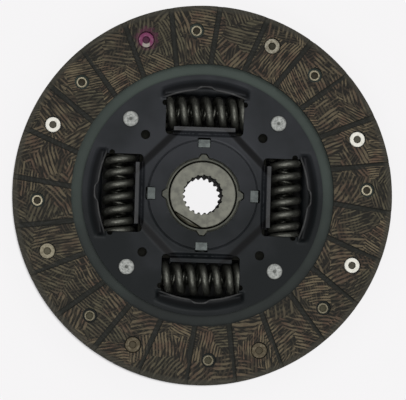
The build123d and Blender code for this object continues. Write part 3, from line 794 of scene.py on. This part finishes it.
def springMaterial():
    s = Shader("blackSpring")
    where = s.place()
    grain = s.noise(where, 1.1, 3.0, 0.6)
    speck = s.noise(where, 4.5, 2.0, 0.7)
    colour = s.mix(grain.clamp(0.4, 0.7), linear(82, 83, 77), linear(106, 106, 99))
    return s.finish(**{"Base Color": colour, "Roughness": 0.3 + grain * 0.14, "Metallic": 0.8,
                       "Normal": s.bump(grain + speck * 0.3, 0.2, 0.08)})


hub = {
    "length": 24.0, "front": 17.8, "rear": 17.0, "frontEdge": 0.3, "rearEdge": 1.0,
    "neck": 17.25, "neckLow": 19.6,
    "flangeFront": 16.95, "flangeRear": 11.95, "flange": 60.0,
    "windowInner": 33.4, "windowOuter": 57.3, "windowHalf": 20.6,
    "notchFloor": 51.2, "notchAngle": 11.582, "notchReach": 70,
    "flatDistance": 14.8, "flatDepth": 1.2, "flatAngle": 238.0, "flatGroove": 0.75,
    "teeth": 20, "minor": 9.5, "major": 10.7, "space": 1.6, "flank": 30.0, "splineAngle": 86.5,
    "mouth": 0.5, "ringBore": 14.0,
    "ledgeReach": 24, "ledgeHalf": 12, "grooveHalf": 8, "grooveFloorHalf": 7.4, "grooveDepth": 1.5,
}


def splineCurve():
    # angle and radius all round the bore: flat tooth tips, sloping flanks and round-bottomed spaces
    h = hub
    middle = (h["minor"] + h["major"]) / 2
    def halfAngle(radius):
        return (h["space"] / 2 + (middle - radius) * math.tan(math.radians(h["flank"]))) / radius
    pitch = 2 * math.pi / h["teeth"]
    levels = np.linspace(h["minor"], h["major"], 5)
    flank = [(-halfAngle(r), r) for r in levels]
    tip = np.linspace(-pitch / 2, -halfAngle(h["minor"]), 4)[:-1]
    one = [(a, h["minor"]) for a in tip] + flank
    one += [(-a, r) for a, r in reversed(one[1:])]
    one = np.array(one)
    angles = np.concatenate([one[:, 0] + k * pitch for k in range(h["teeth"])])
    return angles + math.radians(h["splineAngle"]), np.tile(one[:, 1], h["teeth"])


def makeHub(material):
    # a turned body round the splined bore, with a flange joined on; the faces point inwards
    h = hub
    angles, bore = splineCurve()
    even = 0 * bore
    mouthed = np.maximum(bore, h["minor"] + h["mouth"])
    rows = [
        (bore, h["mouth"]), (mouthed, 0.0), (even + h["rear"] - h["rearEdge"], 0.0),
        (even + h["rear"], h["rearEdge"]), (even + h["rear"], h["flangeRear"] + 1),
        (even + h["front"], h["flangeRear"] + 1.5), (even + h["front"], h["neckLow"]),
        (even + h["neck"], h["neckLow"] + 0.3), (even + h["neck"], h["length"] - h["frontEdge"]),
        (even + h["neck"] - h["frontEdge"], h["length"]), (mouthed, h["length"]),
        (bore, h["length"] - h["mouth"]),
    ]
    radii, heights = np.array([r for r, _ in rows]), np.array([[z] for _, z in rows])
    verts, faces = ringFromSections(radii, heights, angles)
    piece = newPiece("hub_body_piece", verts, faces[:, ::-1].tolist(), material)
    ringShape = latheRing([(h["ringBore"], h["flangeRear"]), (h["flange"], h["flangeRear"]),
                           (h["flange"], h["flangeFront"]), (h["ringBore"], h["flangeFront"])], 240)
    flange = newPiece("flange", ringShape[0], ringShape[1].tolist(), material)
    end = math.asin(h["windowHalf"] / h["windowOuter"])
    arc = np.linspace(-end, end, 24)
    outline = [(h["windowInner"], -h["windowHalf"])]
    outline += list(zip(h["windowOuter"] * np.cos(arc), h["windowOuter"] * np.sin(arc)))
    outline += [(h["windowInner"], h["windowHalf"])]
    low, high = h["flangeRear"] - 3, h["flangeFront"] + 3
    cuts = [turned(outline, t) for t in windowTurns()]
    combine(flange, prisms(cuts, low, high))
    wide = math.radians(h["notchAngle"])
    edge = np.linspace(-wide, wide, 12)
    notch = [(h["notchFloor"] * math.cos(a), h["notchFloor"] * math.sin(a)) for a in edge]
    out, across = h["notchReach"] * math.cos(wide), h["notchReach"] * math.sin(wide)
    notch += [(out, across), (out, -across)]
    combine(flange, prisms([turned(notch, t + 45) for t in windowTurns()], low, high))
    flangeMesh = flange.data
    points = np.array([v.co for v in flangeMesh.vertices]) / mm
    combine(piece, (points, [tuple(p.vertices) for p in flangeMesh.polygons]), "UNION")
    bpy.data.objects.remove(flange)
    near, far, half = h["flatDistance"], h["ledgeReach"], h["ledgeHalf"]
    floor, top = h["length"] - h["flatDepth"], h["length"] + 2
    box = np.array([(near, -half), (far, -half), (far, half), (near, half)])
    combine(piece, prisms([turned(box, h["flatAngle"])], floor, top))
    far, half, tip = near + h["flatGroove"], h["grooveHalf"], h["grooveFloorHalf"]
    groove = np.array([(near, -half), (far, -tip), (far, tip), (near, half)])
    combine(piece, prisms([turned(groove, h["flatAngle"])], floor - h["grooveDepth"], top))
    shadeByAngle(piece, 32)
    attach(piece, "hub_body")
    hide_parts("hub")
    return piece


def hubMaterial():
    s = Shader("hubSteel")
    where = s.place()
    x, y, z = s.split(where)
    radius = (x * x + y * y).math("SQRT")
    turning = s.noise(s.join(radius * 3.0, z * 3.0, 0.0), 1.0, 2.0)
    blotch = s.noise(where, 0.28, 3.0, 0.55)
    fine = s.noise(where, 2.4, 3.0, 0.6)
    colour = s.mix(blotch.clamp(0.35, 0.7), linear(128, 128, 117), linear(105, 105, 97))
    marks = s.mix(turning * 0.5 + fine * 0.5, (0.2, 0.2, 0.2), (0.8, 0.8, 0.8))
    colour = s.mix(0.22, colour, marks, "OVERLAY")
    # the bore and the flange are painted near black: painted shade inside the hub
    hiddenShade = (1.0 - radius.clamp(10.0, 10.3) * z.clamp(22.9, 23.6)).math("MAXIMUM", 1.0 - z.clamp(17.0, 18.5))
    colour = s.mix(hiddenShade * 0.94, colour, linear(12, 12, 11))
    # the ledge beside the marking flat lies a little lower and is painted darker: painted shade at the foot
    # of the flat's wall
    ledge = radius.clamp(13.5, 14.0) * z.clamp(21.5, 22.5) * (1.0 - z.clamp(23.0, 23.8))
    colour = s.mix(ledge, colour, linear(80, 78, 66))
    return s.finish(**{"Base Color": colour, "Roughness": 0.5 + fine * 0.15, "Metallic": 0.55 + hiddenShade * 0.45,
                       "Normal": s.bump(turning + fine * 0.5, 0.2, 0.04)})


bush = {"bore": 17.88, "mouth": 18.05, "outer": 19.0, "seat": 0.5, "shoulder": 20.5, "low": 17.15,
        "shoulderTop": 20.95, "top": 23.25, "nubRoot": 19.0, "nubReach": 21.3, "nubHalf": 2.75, "nubTip": 1.1}


def bushRadius(angles, clear):
    # a round ring with four pointed nubs, grown by clear
    b = bush
    local = np.abs((angles + np.pi / 4) % (np.pi / 2) - np.pi / 4)
    slope = (b["nubHalf"] - b["nubTip"]) / (b["nubReach"] - b["nubRoot"])
    flank = (b["nubHalf"] + clear + slope * (b["nubRoot"] + clear * 0.5)) / (np.tan(local) + slope)
    nub = np.minimum(flank, b["nubReach"] + clear) / np.cos(local)
    return np.maximum(b["outer"] + clear, nub)


def bushOutline(clear):
    # the nubbed ring's outside as a flat outline
    angles = np.linspace(0, 2 * np.pi, 480, endpoint=False)
    radii = bushRadius(angles, clear)
    return np.column_stack([radii * np.cos(angles), radii * np.sin(angles)])


def makeBush(material):
    # a stepped ring whose upper part follows the nubs; the faces point inwards
    b = bush
    angles = np.linspace(0, 2 * np.pi, 480, endpoint=False)
    even = 0 * angles
    nubbed = bushRadius(angles, 0)
    rows = [
        (even + b["bore"], b["low"]), (even + b["shoulder"], b["low"]),
        (even + b["shoulder"], b["shoulderTop"]),
        (nubbed, b["shoulderTop"]), (nubbed, b["top"] - 0.2), (nubbed - 0.2, b["top"]),
        (even + b["mouth"] + 0.1, b["top"]), (even + b["mouth"], b["top"] - 0.2),
        (even + b["mouth"], 20.2),
        (even + b["bore"], 19.8),
    ]
    radii, heights = np.array([r for r, _ in rows]), np.array([[z] for _, z in rows])
    verts, faces = ringFromSections(radii, heights, angles)
    verts = turned(verts, disc["damperAngle"])
    piece = newPiece("centring_bush_ring", verts, faces[:, ::-1].tolist(), material)
    shadeByAngle(piece, 35)
    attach(piece, "plates")
    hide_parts("centring_bush")


def bushMaterial():
    s = Shader("bushPlastic")
    where = s.place()
    mottle = s.noise(where, 0.5, 3.0)
    fine = s.noise(where, 2.8, 3.0, 0.6)
    colour = s.mix(mottle.clamp(0.35, 0.7), linear(74, 76, 68), linear(92, 92, 80))
    return s.finish(**{"Base Color": colour, "Roughness": 0.6 + fine * 0.15,
                       "Normal": s.bump(fine, 0.15, 0.05)})


pin = {"circle": 55.2, "body": 3.4, "shank": 2.5, "head": 4.1, "headRise": 1.2, "dimple": 0.95,
       "frontFace": 21.35, "rearFace": 8.45, "rearInside": 10.45, "shoulder": 18.65}


def pinProfile():
    p = pin
    top, low = p["frontFace"] + p["headRise"], p["rearFace"] - p["headRise"]
    rim = 0.3
    # anticlockwise from the axis at the bottom; the tiny inner radius closes the ends
    return [
        (0.02, low + 0.3), (p["dimple"] * 0.6, low + 0.22), (p["dimple"], low),
        (p["head"] - 0.7, low + 0.02), (p["head"] - rim * 0.4, low + rim * 0.6),
        (p["head"], low + rim + 0.2), (p["head"] - 0.02, p["rearFace"]),
        (p["shank"], p["rearFace"]), (p["shank"], p["rearInside"]), (p["body"], p["rearInside"]),
        (p["body"], p["shoulder"]), (p["shank"], p["shoulder"]), (p["shank"], p["frontFace"]),
        (p["head"] - 0.02, p["frontFace"]), (p["head"], top - rim - 0.2),
        (p["head"] - rim * 0.4, top - rim * 0.6), (p["head"] - 0.7, top - 0.02), (p["dimple"], top),
        (p["dimple"] * 0.6, top - 0.25), (0.02, top - 0.35),
    ]


def makePins(material):
    # one turned pin halfway between each two windows
    turns = np.radians([t + 45 for t in windowTurns()])
    places = [(pin["circle"] * math.cos(t), pin["circle"] * math.sin(t)) for t in turns]
    rings = [latheRing(pinProfile(), 40, place) for place in places]
    verts, faces = joined(rings)
    piece = newPiece("stop_pins_set", verts, faces, material)
    shadeByAngle(piece, 50)
    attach(piece, "plates")
    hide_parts("stop_pins")


def pinMaterial():
    s = Shader("pinSteel")
    where = s.place()
    blotch = s.noise(where, 0.8, 4.0, 0.65)
    fine = s.noise(where, 3.2, 3.0, 0.7)
    colour = s.mix(blotch.clamp(0.38, 0.68), linear(176, 178, 174), linear(118, 121, 118))
    x, y, _ = s.split(where)
    away = axisDistance(x, y, pin["circle"], 90.0, (disc["damperAngle"] + 45.0,))
    dimple = (away + (blotch - 0.5) * 1.2).clamp(pin["dimple"] - 0.4, pin["dimple"] + 0.3)
    colour = s.mix((1.0 - dimple) * 0.75, colour, linear(74, 77, 72))
    colour = s.mix(away.clamp(pin["head"] - 0.9, pin["head"] - 0.2) * 0.5, colour, linear(96, 98, 94))
    colour = s.mix(0.3, colour, s.mix(fine, (0.2, 0.2, 0.2), (0.8, 0.8, 0.8)), "OVERLAY")
    return s.finish(**{"Base Color": colour, "Roughness": 0.42 + fine * 0.2, "Metallic": 0.45,
                       "Normal": s.bump(blotch + fine * 0.6, 0.45, 0.1)})


def simpleMaterial(name, first, second, roughness, metallic):
    # for the plain inner pieces, which keep their CAD shape
    s = Shader(name)
    where = s.place()
    cloud = s.noise(where, 0.35, 3.0, 0.6)
    fine = s.noise(where, 2.5, 3.0, 0.6)
    colour = s.mix(cloud.clamp(0.35, 0.68), first, second)
    return s.finish(**{"Base Color": colour, "Roughness": roughness + fine * 0.14, "Metallic": metallic,
                       "Normal": s.bump(fine, 0.2, 0.05)})


def dress(node, material):
    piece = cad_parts[node]
    piece.data.materials.clear()
    piece.data.materials.append(material)


facingStuff = facingMaterial()
makeFacing("front_facing_ring", "front_lining", facingStuff, False)
makeFacing("rear_facing_ring", "rear_lining", facingStuff, True)
print("facings")

# clean and dirty colour, share of dirt, roughness, metallic, and the painted shade in the hollow
rivetFinishes = {
    "rivetWhite": (linear(255, 253, 242), linear(206, 199, 180), 0.12, 0.5, 0.0, linear(62, 59, 45)),
    "rivetBeige": (linear(174, 169, 152), linear(108, 101, 84), 0.4, 0.5, 0.15, linear(44, 42, 30)),
    "rivetCream": (linear(160, 153, 131), linear(112, 104, 84), 0.3, 0.5, 0.1, linear(88, 84, 68)),
    "rivetDull": (linear(126, 117, 98), linear(90, 81, 64), 0.6, 0.6, 0.1, linear(82, 75, 60)),
    "rivetMarked": (linear(122, 54, 92), linear(158, 126, 140), 0.1, 0.45, 0.0, linear(68, 24, 50)),
    "rivetTail": (linear(226, 217, 188), linear(186, 176, 146), 0.2, 0.45, 0.0, linear(46, 41, 30)),
    "rivetTailDim": (linear(200, 191, 164), linear(150, 141, 116), 0.3, 0.5, 0.0, linear(46, 41, 30)),
    "rivetTailFaint": (linear(154, 147, 124), linear(118, 110, 90), 0.3, 0.5, 0.0, linear(82, 79, 63)),
}
rivetStuff = [rivetMaterial(name, *values) for name, values in rivetFinishes.items()]
# the eight rivets of a facing in order, anticlockwise; the front ones stand at 20, 65, 110, ... degrees
# each rivet's finish is listed one by one: partly its own dirt and paint, partly painted light and shade as
# the light falls on it
frontOrder = ("White", "Beige", "Marked", "White", "Cream", "Dull", "Dull", "White")
rearOrder = ("Tail", "TailFaint", "TailFaint", "TailFaint", "Tail", "TailDim", "TailDim", "TailDim")
frontFinish, rearFinish = [[list(rivetFinishes).index("rivet" + word) for word in order]
                           for order in (frontOrder, rearOrder)]
makeRivets("front_facing_rivets_set", "front_lining", rivetStuff, frontFinish, False)
makeRivets("rear_facing_rivets_set", "rear_lining", rivetStuff, rearFinish, True)
print("rivets")

plateStuff = plateMaterial()
makePlate("front_plate_pressing", plateStuff, True)
makePlate("rear_plate_pressing", plateStuff, False)
print("plates")

makeSprings(springMaterial())
print("springs")

makeHub(hubMaterial())
makeBush(bushMaterial())
makePins(pinMaterial())
print("hub, bush and pins")

makeCushion(cushionMaterial())
dress("thrust_plate", simpleMaterial("zincSteel", linear(98, 104, 102), linear(78, 83, 82), 0.38, 0.6))
dress("cone_spring", simpleMaterial("springSteel", linear(60, 60, 60), linear(46, 46, 48), 0.35, 0.7))
ringStuff = simpleMaterial("frictionRing", linear(58, 52, 44), linear(44, 40, 34), 0.7, 0.0)
dress("front_friction_ring", ringStuff)
dress("rear_friction_ring", ringStuff)
print("inner pieces")

view = {
    "target": (0.0001, -0.0027, 0.0231),
    "width": 0.2135,        # across the picture at the facing's face
    "distance": 3.0,
    "tilt": 5.5, "towards": 225.0,
    "white": (0.93, 0.922, 0.93),
    "glow": 0.94,
    "zenith": 0.55, "sky": 1.3, "horizon": 0.12,   # strength overhead, of the dome round it and low down
    "floorHalf": 4000,      # millimetres
    "film": 36.0, "clip": 50.0,
}

# places in metres, from the foot of the hub
lamps = {
    "keyLamp": {"place": (-0.2, -0.5, 1.5), "size": 0.5, "power": 3.5},
    "fillLamp": {"place": (0.3, 0.5, 1.4), "size": 0.5, "power": 1.5},
}


def makeFloor():
    # pale, but painted dark under the disc as a painted shadow; its own glow to the camera stops under the
    # disc, where it lies in the shade
    half = view["floorHalf"]
    corners = np.array([(-half, -half, 0), (half, -half, 0), (half, half, 0), (-half, half, 0)])
    floor = newPiece("floor", corners, [(0, 1, 2, 3)], smooth=False)
    s = Shader("paleFloor")
    x, y, _ = s.split(s.place())
    radius = (x * x + y * y).math("SQRT")
    bare = radius.clamp(98.5, 100.5).math("MAXIMUM", 1.0 - radius.clamp(15.0, 16.0))
    # dark between about 18 and 92 mm from the axis: painted shadow under the disc
    shade = radius.clamp(92.0, 99.0).math("MAXIMUM", 1.0 - radius.clamp(15.0, 18.0))
    paleWithPaintedShadow = s.mix(shade, (0.08, 0.08, 0.08), view["white"])
    diffuse = s.node("ShaderNodeBsdfDiffuse", None, {"Color": paleWithPaintedShadow})
    glow = s.node("ShaderNodeEmission", None, {"Color": (*view["white"], 1.0), "Strength": 1.0})
    seen = Value(s, s.node("ShaderNodeLightPath").outputs["Is Camera Ray"])
    mixed = s.node("ShaderNodeMixShader", None,
                   {0: seen * bare * view["glow"], 1: diffuse.outputs[0], 2: glow.outputs[0]})
    floor.data.materials.append(s.show(mixed.outputs[0]))


def makeWorld():
    # a soft dome overhead, a little dimmer at its middle, and a white backdrop to the camera
    s = Shader("studio", world=True)
    _, _, z = s.split(s.node("ShaderNodeTexCoord").outputs["Generated"])
    dome = z.clamp(0.58, 0.84) * (view["sky"] - view["horizon"])
    strength = view["horizon"] + dome - z.clamp(0.9, 0.975) * (view["sky"] - view["zenith"])
    studio = s.node("ShaderNodeBackground", None, {"Color": (1.0, 1.0, 1.0, 1.0), "Strength": strength})
    backdrop = s.node("ShaderNodeBackground", None, {"Color": (*view["white"], 1.0), "Strength": 1.0})
    seen = s.node("ShaderNodeLightPath").outputs["Is Camera Ray"]
    mixed = s.node("ShaderNodeMixShader", None, {0: seen, 1: studio.outputs[0], 2: backdrop.outputs[0]})
    bpy.context.scene.world = s.show(mixed.outputs[0])


def makeLamp(name, place, size, power):
    # a round soft lamp that faces the disc
    lamp = bpy.data.lights.new(name, "AREA")
    lamp.shape, lamp.size, lamp.energy = "DISK", size, power
    holder = bpy.data.objects.new(name, lamp)
    bpy.context.scene.collection.objects.link(holder)
    holder.location = place
    holder.rotation_euler = (Vector((0, 0, 0.02)) - Vector(place)).to_track_quat("-Z", "Y").to_euler()


def makeCamera():
    # leans from straight above towards one direction, and its width across the face sets the lens
    v = view
    turn, lean = math.radians(v["towards"]), math.radians(v["tilt"])
    back = Vector((math.cos(turn) * math.sin(lean), math.sin(turn) * math.sin(lean), math.cos(lean)))
    right = Vector((0, 1, 0)).cross(back).normalized()
    up = back.cross(right)
    camera = bpy.data.objects.new("camera", bpy.data.cameras.new("camera"))
    bpy.context.scene.collection.objects.link(camera)
    rotation = Matrix((right, up, back)).transposed().to_4x4()
    camera.matrix_world = Matrix.Translation(Vector(v["target"]) + back * v["distance"]) @ rotation
    camera.data.sensor_fit = "HORIZONTAL"
    camera.data.sensor_width = v["film"]
    camera.data.lens = v["film"] * v["distance"] / v["width"]
    camera.data.clip_end = v["clip"]
    bpy.context.scene.camera = camera


makeFloor()
makeWorld()
for name, lamp in lamps.items():
    makeLamp(name, **lamp)
makeCamera()
bpy.context.scene.view_settings.view_transform = "Standard"
print("stage")
